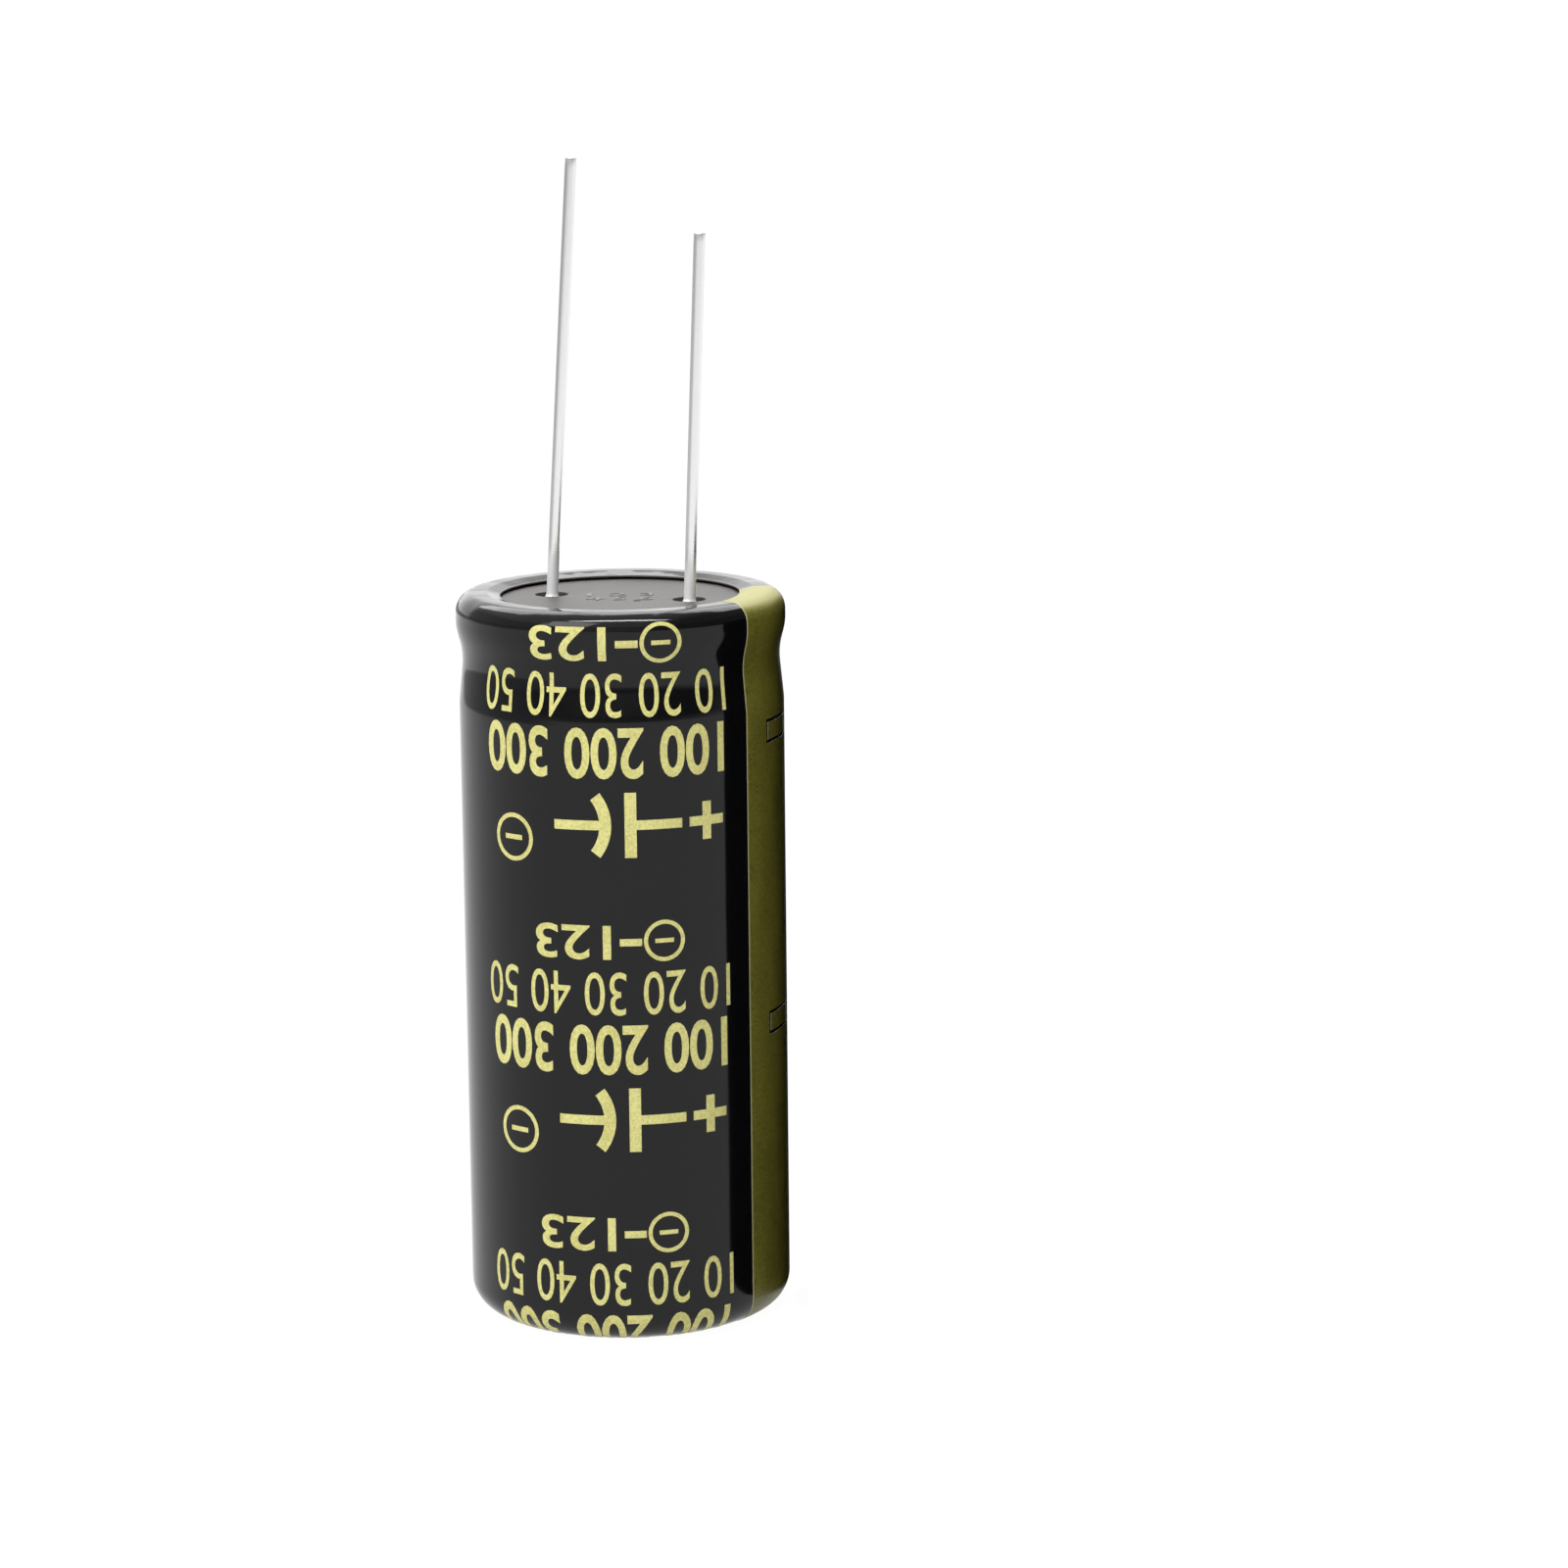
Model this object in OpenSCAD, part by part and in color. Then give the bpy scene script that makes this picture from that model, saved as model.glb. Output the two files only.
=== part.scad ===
// Radial aluminium electrolytic capacitor, standing on its closed end with its two leads up.
// The origin is on the can's axis at the resting face. +Z runs up to the leads and
// +X runs from the positive lead to the negative one.

/* [Can] */
// Outside diameter of the aluminium can
can_d = 22; // [20:0.5:26]
// Height of the can from its closed end to the top of its rim
can_h = 50.2; // [46:0.1:60]
// Wall thickness of the can
can_wall = 0.4; // [0.3:0.05:0.5]
// Outside radius of the corner at the closed end
can_corner_r = 1.8; // [1:0.1:2.4]

/* [Safety vent] */
// Length of each of the two scored lines that cross on the closed end
score_l = 12; // [8:0.5:14]
// Depth of a scored line
score_depth = 0.2; // [0.1:0.02:0.24]

/* [Crimped rim] */
// Height of the rim, from the upper shoulder of the pressed bead to the top of the can
rim_h = 2.1; // [1.7:0.1:3]
// Height of the bead from shoulder to shoulder
bead_h = 4.8; // [4:0.1:5.2]
// How far the bead is pressed in
bead_depth = 1.1; // [0.8:0.1:1.4]
// Radius in the bottom of the bead
bead_root_r = 1; // [0.8:0.1:1.4]
// Radius on each shoulder of the bead
bead_shoulder_r = 1.5; // [1:0.1:2]
// How far the rim swells out past the wall when it is crimped
rim_swell = 0.15; // [0.05:0.05:0.25]
// Outside radius where the rim rolls over
rim_roll_r = 1.1; // [0.9:0.1:1.3]
// How far the curled lip reaches inwards from the outside of the rim
lip_reach = 2.15; // [1.8:0.05:2.6]
// Outside radius where the lip turns down
lip_turn_r = 0.6; // [0.5:0.05:0.7]
// Height of the turned-down lip, which bites into the rubber
lip_bite = 1; // [0.8:0.1:1.3]

/* [Sleeve] */
// Wall thickness of the heat-shrunk sleeve
sleeve_wall = 0.18; // [0.12:0.02:0.26]
// How far the sleeve laps inwards over the rim, from its own outside
sleeve_top_lap = 3.15; // [2.6:0.05:3.8]
// How far the sleeve laps inwards under the closed end, from its own outside
sleeve_base_lap = 2.8; // [2.6:0.1:5]
// Depth of the waist where the sleeve bridges the bead
waist_depth = 0.3; // [0.2:0.05:0.45]
// Radius in the middle of the waist
waist_r = 8; // [6:0.5:10]
// Radius on each shoulder of the waist
waist_shoulder_r = 5; // [3:0.5:6]
// Width of the flat ring over the rim, which seats on a board
seat_ring_w = 0.9; // [0.6:0.1:1.1]
// How far the sleeve's top edge dips below that ring
sleeve_dip = 0.12; // [0.06:0.02:0.2]

/* [Polarity stripe] */
// Arc that the stripe takes of the sleeve, in degrees
stripe_angle = 45; // [30:1:60]
// Thickness of the ink, which lies flush in the sleeve
ink_t = 0.05; // [0.03:0.01:0.08]
// Width of a minus mark round the sleeve
mark_w = 3.9; // [2.5:0.1:4.5]
// Height of a minus mark
mark_h = 1.65; // [1.2:0.05:2.5]
// Width of the line that outlines a minus mark
mark_line = 0.22; // [0.15:0.01:0.35]
// Distance from one minus mark to the next
mark_pitch = 20.4; // [12:0.1:24]
// Distance from the top of the can down to the first minus mark
mark_drop = 8.9; // [8.6:0.1:14]

/* [Rubber seal] */
// Thickness of the rubber seal
seal_t = 6; // [5:0.1:7]
// How far the face of the seal lies below the top of the can
seal_drop = 0.3; // [0.1:0.05:0.6]
// How far the mouth of the crater round each lead stands out past the boss's bore
crater_flare = 0.13; // [0:0.01:0.3]
// Depth of the crater round each lead
crater_depth = 0.7; // [0.4:0.05:1]
// Diameter of the moulding mark in the face of the seal
gate_d = 0.5; // [0.3:0.05:0.8]
// Depth of the moulding mark
gate_depth = 0.2; // [0.1:0.05:0.4]
// Place of the moulding mark, measured from the axis
gate_at = [1.7, -1.4];

/* [Terminals] */
// Diameter of the round aluminium boss that the rubber grips
boss_d = 2; // [1.6:0.05:2.15]
// How far the boss stands out below the seal
boss_stub = 0.6; // [0.4:0.1:1]
// Height over which the boss is pressed down to the flat paddle
press_h = 1.4; // [1:0.1:1.8]
// Width of the flat paddle
paddle_w = 3.2; // [2.4:0.1:4]
// Thickness of the flat paddle
paddle_t = 0.4; // [0.3:0.05:0.6]
// Depth of the paddle inside the winding
paddle_depth = 26; // [15:1:32]

/* [Leads] */
// Distance between the middles of the two leads at the seal
lead_pitch = 10; // [9:0.5:10.5]
// Diameter of the tinned wire
lead_d = 0.8; // [0.6:0.05:1]
// Height of the positive wire above the seal, along the wire
positive_l = 30; // [15:0.5:35]
// Height of the negative wire above the seal, along the wire
negative_l = 25; // [12:0.5:30]
// Lean of the positive wire, in degrees
positive_lean_angle = 3.5; // [0:0.1:6]
// Lean of the negative wire, in degrees
negative_lean_angle = 2.3; // [0:0.1:6]
// Direction in which both wires lean, in degrees from +X
lean_azimuth = 17; // [-180:1:180]
// Bevel that the cutter leaves on the end of a wire
tip_bevel = 0.1; // [0.05:0.01:0.15]
// Diameter of the weld bead that joins a wire to its boss
weld_d = 1.4; // [1.2:0.05:1.6]

/* [Winding] */
// Free height between the wound element and the seal
headroom = 3.9; // [2.5:0.1:8]
// Gap between the taped winding and the can
winding_gap = 0.35; // [0.2:0.05:0.6]
// Diameter of the hole that the winding arbor leaves
arbor_d = 3.2; // [2:0.1:4]
// Distance from one visible turn to the next
turn_pitch = 0.8; // [0.6:0.05:1.2]
// Width of the groove between two visible turns
turn_groove_w = 0.25; // [0.15:0.01:0.35]
// Depth of that groove
turn_groove_depth = 0.3; // [0.2:0.05:0.5]
// Plain band left at the arbor hole and at the outside of each end
turn_margin = 0.5; // [0.4:0.05:0.8]
// Thickness of the tape round the winding
tape_t = 0.08; // [0.06:0.01:0.12]
// Height left bare of tape at each end of the winding
tape_margin = 3.8; // [1:0.1:8]
// Arc over which the tape's end laps its start, in degrees
tape_lap = 40; // [20:5:90]

/* [Hidden] */
// Clearance between pieces that touch on the real part
fit_gap = 0.02;
// Largest turn of one straight step in a rounded corner, in degrees
arc_angle = 7.5;
// Fewest straight steps in a rounded corner
arc_steps = 4;
// Straight steps in one turn of the winding's spiral
spiral_steps = 24;
// How far a cutting shape reaches past the surface that it cuts
cut_over = 0.5;
$fn = 96;

// Radii of the can, the rim and the winding
can_r = can_d / 2;
rim_r = can_r + rim_swell;
lip_hole_r = rim_r - lip_reach;
winding_r = can_r - can_wall - winding_gap - 2 * tape_t - fit_gap;
// Distance from a surface of the can to the same surface of the sleeve
skin = fit_gap + sleeve_wall;
sleeve_r = can_r + skin;
sleeve_rim_r = rim_r + skin;

// Heights of the can, the seal and the winding
can_base_z = skin;
can_top_z = can_base_z + can_h;
rim_base_z = can_top_z - rim_h;
bead_z = rim_base_z - bead_h / 2;
bead_base_z = rim_base_z - bead_h;
seal_top_z = can_top_z - seal_drop;
seal_base_z = seal_top_z - seal_t;
weld_z = seal_top_z - crater_depth;
winding_base_z = can_base_z + can_wall + fit_gap;
winding_top_z = seal_base_z - headroom;
winding_h = winding_top_z - winding_base_z;
tape_h = winding_h - 2 * tape_margin;
sleeve_top_z = can_top_z + skin;
seat_inner_r = sleeve_rim_r - rim_roll_r - skin - seat_ring_w;

// Outer line of the can's wall, from the middle of its base to the edge of its lip.
// Each point is [radius, height, corner radius].
can_path = [
    [0, can_base_z, 0],
    [can_r, can_base_z, can_corner_r],
    [can_r, bead_base_z, bead_shoulder_r],
    [can_r - bead_depth, bead_z, bead_root_r],
    [rim_r, rim_base_z, bead_shoulder_r],
    [rim_r, can_top_z, rim_roll_r],
    [lip_hole_r, can_top_z, lip_turn_r],
    [lip_hole_r, can_top_z - lip_bite, 0]
];

// Outer line of the sleeve, from its edge under the can to its edge over the seal
sleeve_path = [
    [sleeve_r - sleeve_base_lap, 0, 0],
    [sleeve_r, 0, can_corner_r + skin],
    [sleeve_r, bead_base_z, waist_shoulder_r],
    [sleeve_r - waist_depth, bead_z, waist_r],
    [sleeve_rim_r, rim_base_z, waist_shoulder_r],
    [sleeve_rim_r, sleeve_top_z, rim_roll_r + skin],
    [seat_inner_r, sleeve_top_z, 0],
    [sleeve_rim_r - sleeve_top_lap, sleeve_top_z - sleeve_dip, 0]
];

// Paths with rounded corners

// Direction of a path's leg that starts at point i
function leg(path, i) =
    let (step = [path[i + 1].x - path[i].x, path[i + 1].y - path[i].y])
    step / norm(step);

function left_of(direction) = [-direction.y, direction.x];

// The path moved to its left, with each corner's radius changed to suit
function moved(path, distance) =
    let (last = len(path) - 1)
    [
        for (i = [0 : last])
            let (
                before = leg(path, max(i - 1, 0)),
                after = leg(path, min(i, last - 1)),
                mitre = (left_of(before) + left_of(after)) / (1 + before * after),
                radius = path[i].z - sign(cross(before, after)) * distance
            )
            [path[i].x + distance * mitre.x, path[i].y + distance * mitre.y, max(radius, 0)]
    ];

// The path made longer at both ends
function extended(path, distance) =
    let (last = len(path) - 1, first_leg = leg(path, 0), last_leg = leg(path, last - 1))
    [
        for (i = [0 : last])
            let (
                shift = i == 0 ? -first_leg * distance : i == last ? last_leg * distance : [0, 0]
            )
            [path[i].x + shift.x, path[i].y + shift.y, path[i].z]
    ];

// Points of the arc that rounds the corner at a point
function corner_arc(point, before, after) =
    let (
        turn = atan2(cross(before, after), before * after),
        side = sign(turn),
        radius = point.z,
        start = [point.x, point.y] - before * radius * tan(abs(turn) / 2),
        middle = start + side * left_of(before) * radius,
        from_middle = atan2(-side * left_of(before).y, -side * left_of(before).x),
        steps = max(arc_steps, ceil(abs(turn) / arc_angle))
    )
    [
        for (k = [0 : steps])
            middle + radius * [cos(from_middle + turn * k / steps), sin(from_middle + turn * k / steps)]
    ];

// The path as plain points, its corners rounded
function rounded(path) =
    let (last = len(path) - 1)
    [
        for (i = [0 : last])
            each i == 0 || i == last || path[i].z == 0
                ? [[path[i].x, path[i].y]]
                : corner_arc(path[i], leg(path, i - 1), leg(path, i))
    ];

function reversed(points) = [for (i = [len(points) - 1 : -1 : 0]) points[i]];

// Outline of a sheet that lies between two distances to the left of a path
function sheet(path, near, far) =
    concat(rounded(moved(path, near)), reversed(rounded(moved(path, far))));

// Sheet-metal can

module vent_score() {
    side = score_depth * sqrt(2);
    for (turn = [0, 90])
        rotate([0, 0, turn])
            translate([0, 0, can_base_z])
                rotate([45, 0, 0])
                    cube([score_l, side, side], center = true);
}

module can() {
    color("silver")
        difference() {
            rotate_extrude()
                polygon(sheet(can_path, 0, can_wall));
            vent_score();
        }
}

// Heat-shrunk sleeve and the stripe printed on it

// A minus mark as a plain block round the sleeve's axis
module mark_block(width, height, z) {
    arc = width / sleeve_r * 180 / PI;
    rotate([0, 0, -arc / 2])
        rotate_extrude(angle = arc)
            translate([sleeve_r - cut_over, z - height / 2])
                square([2 * cut_over, height]);
}

module mark_outline(z) {
    difference() {
        mark_block(mark_w, mark_h, z);
        mark_block(mark_w - 2 * mark_line, mark_h - 2 * mark_line, z);
    }
}

// The stripe's ink, which reaches a given distance out of the sleeve and past its edges
module ink_field(over) {
    difference() {
        rotate([0, 0, -stripe_angle / 2])
            rotate_extrude(angle = stripe_angle)
                polygon(sheet(extended(sleeve_path, over), -over, ink_t));
        for (z = [can_top_z - mark_drop : -mark_pitch : can_corner_r + skin + mark_h])
            mark_outline(z);
    }
}

module sleeve() {
    color([0.07, 0.07, 0.08])
        difference() {
            rotate_extrude()
                polygon(sheet(sleeve_path, 0, sleeve_wall));
            ink_field(cut_over);
        }
}

module polarity_stripe() {
    color([0.66, 0.63, 0.22])
        ink_field(0);
}

// Rubber seal, squeezed by the bead and held down by the curled lip

module seal_profile() {
    inside = rounded(moved(can_path, can_wall + fit_gap));
    difference() {
        union() {
            intersection() {
                polygon(concat(inside, [[0, inside[len(inside) - 1].y]]));
                translate([0, seal_base_z])
                    square([rim_r, can_top_z - lip_bite - seal_base_z]);
            }
            translate([0, seal_base_z + seal_t / 2])
                square([lip_hole_r - fit_gap, seal_t / 2]);
            under_lip();
        }
        polygon(sheet(extended(can_path, fit_gap), -fit_gap, can_wall + fit_gap));
    }
}

// The rubber that wells up into the hollow of the curled lip
module under_lip() {
    outer_r = rim_r - can_wall - fit_gap;
    intersection() {
        polygon(rounded(moved(can_path, can_wall + fit_gap)));
        translate([lip_hole_r, rim_base_z])
            square([outer_r - lip_hole_r, rim_h - seal_drop]);
    }
}

// Bore for one terminal's boss, with its crater at the top
module terminal_bore() {
    bore_r = boss_d / 2 + fit_gap;
    translate([0, 0, seal_base_z - cut_over])
        cylinder(h = seal_t + 2 * cut_over, r = bore_r);
    translate([0, 0, weld_z])
        cylinder(h = crater_depth, r1 = bore_r, r2 = bore_r + crater_flare);
}

module rubber_seal() {
    color([0.16, 0.14, 0.13])
        difference() {
            rotate_extrude()
                seal_profile();
            for (side = [-1, 1])
                translate([side * lead_pitch / 2, 0, 0])
                    terminal_bore();
            translate([gate_at.x, gate_at.y, seal_top_z - gate_depth])
                cylinder(h = gate_depth + cut_over, d = gate_d);
        }
}

// Leads and the terminals that they are welded to

// A wire that leans from its foot. The weld bead tapers up to it and ends level with the seal.
module lead(height, lean) {
    wire_r = lead_d / 2;
    foot_z = weld_z + fit_gap + weld_d / 2 * sin(lean);
    weld_h = (seal_top_z - foot_z) / cos(lean);
    length = weld_h + height;
    color([0.82, 0.83, 0.84])
        translate([0, 0, foot_z])
            rotate([0, lean, lean_azimuth])
                rotate_extrude()
                    polygon([
                        [0, 0],
                        [weld_d / 2, 0],
                        [wire_r, weld_h],
                        [wire_r, length - tip_bevel],
                        [wire_r - tip_bevel, length],
                        [0, length]
                    ]);
}

module lead_positive() {
    translate([-lead_pitch / 2, 0, 0])
        lead(positive_l, positive_lean_angle);
}

module lead_negative() {
    translate([lead_pitch / 2, 0, 0])
        lead(negative_l, negative_lean_angle);
}

module terminal() {
    boss_base_z = seal_base_z - boss_stub;
    paddle_top_z = boss_base_z - press_h;
    paddle_base_z = winding_top_z - paddle_depth;
    slice = 0.01;
    color([0.75, 0.76, 0.78]) {
        translate([0, 0, boss_base_z])
            cylinder(h = weld_z - boss_base_z, d = boss_d);
        hull() {
            translate([0, 0, boss_base_z])
                cylinder(h = slice, d = boss_d, $fn = 32);
            translate([-paddle_t / 2, -paddle_w / 2, paddle_top_z - slice])
                cube([paddle_t, paddle_w, slice]);
        }
        translate([-paddle_t / 2, -paddle_w / 2, paddle_base_z])
            cube([paddle_t, paddle_w, paddle_top_z - paddle_base_z]);
    }
}

module terminal_positive() {
    translate([-lead_pitch / 2, 0, 0])
        terminal();
}

module terminal_negative() {
    translate([lead_pitch / 2, 0, 0])
        terminal();
}

// Wound foils and paper, with the tape that closes the roll.
// The roll's lower edge is rounded as the can's inner corner is.

// Outline of the spiral groove between the visible turns on an end of the winding
module turn_spiral() {
    start_r = arbor_d / 2 + turn_margin;
    turns = floor((winding_r - turn_margin - turn_groove_w - start_r) / turn_pitch);
    steps = turns * spiral_steps;
    function on_spiral(k, offset) =
        let (angle = 360 * k / spiral_steps, radius = start_r + turn_pitch * k / spiral_steps + offset)
        radius * [cos(angle), sin(angle)];
    polygon(concat(
        [for (k = [0 : steps]) on_spiral(k, 0)],
        [for (k = [steps : -1 : 0]) on_spiral(k, turn_groove_w)]
    ));
}

module wound_element() {
    slot_t = paddle_t + 2 * fit_gap;
    slot_w = paddle_w + 2 * fit_gap;
    slot_base_z = winding_top_z - paddle_depth - fit_gap;
    color([0.78, 0.70, 0.55])
        difference() {
            rotate_extrude()
                polygon(rounded([
                    [0, winding_base_z, 0],
                    [winding_r, winding_base_z, can_corner_r - can_wall],
                    [winding_r, winding_top_z, 0],
                    [0, winding_top_z, 0]
                ]));
            translate([0, 0, winding_base_z - cut_over])
                cylinder(h = winding_h + 2 * cut_over, d = arbor_d);
            for (end_z = [winding_base_z - cut_over, winding_top_z - turn_groove_depth])
                translate([0, 0, end_z])
                    linear_extrude(turn_groove_depth + cut_over)
                        turn_spiral();
            for (side = [-1, 1])
                translate([side * lead_pitch / 2 - slot_t / 2, -slot_w / 2, slot_base_z])
                    cube([slot_t, slot_w, paddle_depth + fit_gap + cut_over]);
        }
}

module tape_band(inner_r) {
    translate([inner_r, winding_base_z + (winding_h - tape_h) / 2])
        square([tape_t, tape_h]);
}

module winding_tape() {
    color([0.85, 0.80, 0.60, 0.8]) {
        rotate_extrude()
            tape_band(winding_r + fit_gap);
        rotate_extrude(angle = tape_lap)
            tape_band(winding_r + fit_gap + tape_t);
    }
}

can();
sleeve();
polarity_stripe();
rubber_seal();
lead_positive();
lead_negative();
terminal_positive();
terminal_negative();
wound_element();
winding_tape();
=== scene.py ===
"""Radial electrolytic capacitor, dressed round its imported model.

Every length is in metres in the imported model's frame. Named sizes are in millimetres and are
multiplied by MM where they are used.
"""
import math

import bmesh
import bpy
from mathutils import Matrix, Vector


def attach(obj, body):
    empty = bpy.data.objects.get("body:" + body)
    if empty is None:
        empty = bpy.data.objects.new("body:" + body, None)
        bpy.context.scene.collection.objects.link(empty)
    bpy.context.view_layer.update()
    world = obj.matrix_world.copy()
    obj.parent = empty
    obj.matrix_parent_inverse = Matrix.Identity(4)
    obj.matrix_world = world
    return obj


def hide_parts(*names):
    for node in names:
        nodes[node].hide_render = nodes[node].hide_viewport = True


MM = 0.001

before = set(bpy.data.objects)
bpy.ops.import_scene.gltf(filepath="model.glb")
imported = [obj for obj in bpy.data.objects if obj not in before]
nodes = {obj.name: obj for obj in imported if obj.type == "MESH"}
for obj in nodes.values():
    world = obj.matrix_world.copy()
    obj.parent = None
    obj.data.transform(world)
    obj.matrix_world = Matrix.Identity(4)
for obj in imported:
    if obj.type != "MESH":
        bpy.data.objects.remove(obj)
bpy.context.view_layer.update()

# Film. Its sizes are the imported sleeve's, apart from its waist and its lip, which are a little deeper.
FILM_WALL = 0.18
FILM_R = 11.2
FILM_TOP = 50.6
FOOT_HOLE_R = 8.4
FOOT_ROUNDING = 2.0
WAIST_FOOT = 43.1
WAIST_R = 10.86
WAIST_HEIGHT = 46.5
RIM_R = 11.35
RIM_FOOT = 48.3
RIM_ROUNDING = 1.3
LAP_R = 9.15
LIP_R = 8.2
LIP_DIP = 0.22
STRIPE_ANGLE = 45

# The film's line, from its hole at the foot to its lip. Each point has a radius, a height and a rounding.
FILM_LINE = [
    (FOOT_HOLE_R, 0, 0),
    (FILM_R, 0, FOOT_ROUNDING),
    (FILM_R, WAIST_FOOT, 5.0),
    (WAIST_R, WAIST_HEIGHT, 5.0),
    (RIM_R, RIM_FOOT, 4.0),
    (RIM_R, FILM_TOP, RIM_ROUNDING),
    (LAP_R, FILM_TOP, 0.4),
    (LIP_R, FILM_TOP - LIP_DIP, 0),
]

# Seal and leads. Each lead has its side, its lean in degrees and its length above the weld.
SEAL_TOP = 50.1
RELIEF = 0.03
LEAD_PITCH = 10
LEAD_R = 0.4
LEAD_FOOT = 49.42
WELD_R = 0.7
LEAN_AZIMUTH = 17
LEADS = {"positive": (-1, 3.5, 30), "negative": (1, 2.3, 25)}


# Node trees

class Flow:
    """A node's output socket that Python's operators can work on."""

    def __init__(self, tree, socket):
        self.tree = tree
        self.socket = socket

    def __add__(self, other):
        return self.tree.maths("ADD", self, other)

    def __sub__(self, other):
        return self.tree.maths("SUBTRACT", self, other)

    def __rsub__(self, other):
        return self.tree.maths("SUBTRACT", other, self)

    def __mul__(self, other):
        return self.tree.maths("MULTIPLY", self, other)

    def __truediv__(self, other):
        return self.tree.maths("DIVIDE", self, other)

    def __pow__(self, other):
        return self.tree.maths("POWER", self, other)

    __radd__ = __add__
    __rmul__ = __mul__


class Outputs:
    """The outputs of one node, by name or number."""

    def __init__(self, tree, node):
        self.tree = tree
        self.outputs = node.outputs

    def __getitem__(self, key):
        return Flow(self.tree, self.outputs[key])


class Tree:
    """Adds nodes to a material, a world or a geometry tree."""

    def __init__(self, node_tree):
        self.node_tree = node_tree

    def node(self, kind, settings=None, values=None):
        """Adds a node. Its settings come first, then the value or the link of each input."""
        made = self.node_tree.nodes.new(kind)
        for name, value in (settings or {}).items():
            setattr(made, name, value)
        for name, value in (values or {}).items():
            if isinstance(value, Flow):
                self.node_tree.links.new(value.socket, made.inputs[name])
            else:
                made.inputs[name].default_value = value
        return Outputs(self, made)

    def maths(self, operation, *values):
        return self.node("ShaderNodeMath", {"operation": operation}, dict(enumerate(values)))[0]

    def vector(self, operation, *values):
        """A Vector Math node. SCALE takes a vector and a number, the others take vectors."""
        names = (0, "Scale") if operation == "SCALE" else range(len(values))
        return self.node("ShaderNodeVectorMath", {"operation": operation}, dict(zip(names, values)))["Vector"]

    def combine(self, x, y, z):
        return self.node("ShaderNodeCombineXYZ", {}, {"X": x, "Y": y, "Z": z})["Vector"]

    def separate(self, vector):
        made = self.node("ShaderNodeSeparateXYZ", {}, {0: vector})
        return made["X"], made["Y"], made["Z"]

    def ramp(self, value, low, high, bottom=0.0, top=1.0):
        """The value between low and high, smoothed and spread from bottom to top."""
        return self.node("ShaderNodeMapRange", {"interpolation_type": "SMOOTHSTEP"}, {
            "Value": value, "From Min": low, "From Max": high, "To Min": bottom, "To Max": top,
        })["Result"]


# Materials

TURN_PITCH = 0.2


class Finish(Tree):
    """A material on Object coordinates in millimetres."""

    def __init__(self, name):
        self.material = bpy.data.materials.new(name)
        self.material.use_nodes = True
        super().__init__(self.material.node_tree)
        self.node_tree.nodes.clear()
        place = self.node("ShaderNodeTexCoord")["Object"]
        self.place = self.vector("SCALE", place, 1 / MM)

    def height(self):
        return self.separate(self.place)[2]

    def from_axis(self):
        """Distance from the part's axis."""
        x, y, _ = self.separate(self.place)
        return (x * x + y * y) ** 0.5

    def noise(self, scale, detail=2.0, roughness=0.5, stretch=(1, 1, 1)):
        """Noise of so many waves a millimetre."""
        place = self.vector("MULTIPLY", self.place, stretch)
        return self.node("ShaderNodeTexNoise", {}, {
            "Vector": place, "Scale": scale, "Detail": detail, "Roughness": roughness,
        })[0]

    def mix(self, factor, one, other):
        """One colour at 0, the other at 1. The node's colours are its inputs 6 and 7 and its output 2."""
        one, other = (colour if isinstance(colour, Flow) else (*colour, 1) for colour in (one, other))
        return self.node("ShaderNodeMix", {"data_type": "RGBA"}, {0: factor, 6: one, 7: other})[2]

    def bump(self, height, depth):
        """A bump whose height runs over a depth in millimetres."""
        return self.node("ShaderNodeBump", {}, {
            "Height": height, "Distance": depth * MM, "Strength": 1.0,
        })["Normal"]

    def done(self, **values):
        """Ends in a Principled shader with these inputs, named with _ for a space."""
        inputs = {}
        for name, value in values.items():
            is_colour = isinstance(value, tuple) and len(value) == 3
            inputs[name.replace("_", " ")] = (*value, 1) if is_colour else value
        shader = self.node("ShaderNodeBsdfPrincipled", {}, inputs)["BSDF"]
        self.node("ShaderNodeOutputMaterial", {}, {"Surface": shader})
        return self.material


def film_finish():
    """Glossy black shrink film with orange peel, fine grain and hazy patches.

    It is creased where it turns over the rim, and duller at its cut edge, which is painted a lighter grey:
    painted light on the lip's shaded wall.
    """
    m = Finish("shrink_film_black")
    peel = m.noise(0.55, 2, stretch=(1, 1, 0.45))
    grain = m.noise(9, 2)
    haze = m.noise(0.12, 3, stretch=(1, 1, 0.3))
    high = m.ramp(m.height(), FILM_TOP - 1.6, FILM_TOP - 0.6)
    cut = m.ramp(m.from_axis(), LIP_R + 0.16, LIP_R + 0.09) * high
    crease = m.noise(0.3, 2, stretch=(1, 1, 0.5)) * m.ramp(m.height(), FILM_TOP - 1.8, FILM_TOP - 0.8)
    colour = m.mix(m.ramp(grain, 0.35, 0.75), (0.002, 0.002, 0.0026), (0.0042, 0.0042, 0.005))
    # The cut edge is painted a lighter grey: painted light standing in for light on the lip's shaded back
    # wall.
    colour = m.mix(cut, colour, (0.18, 0.17, 0.165))
    return m.done(
        Base_Color=colour,
        Roughness=0.05 + 0.08 * haze + 0.5 * cut,
        Normal=m.bump(peel + grain * 0.05 + crease * 25, 0.004),
        IOR=1.37,
    )


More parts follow.
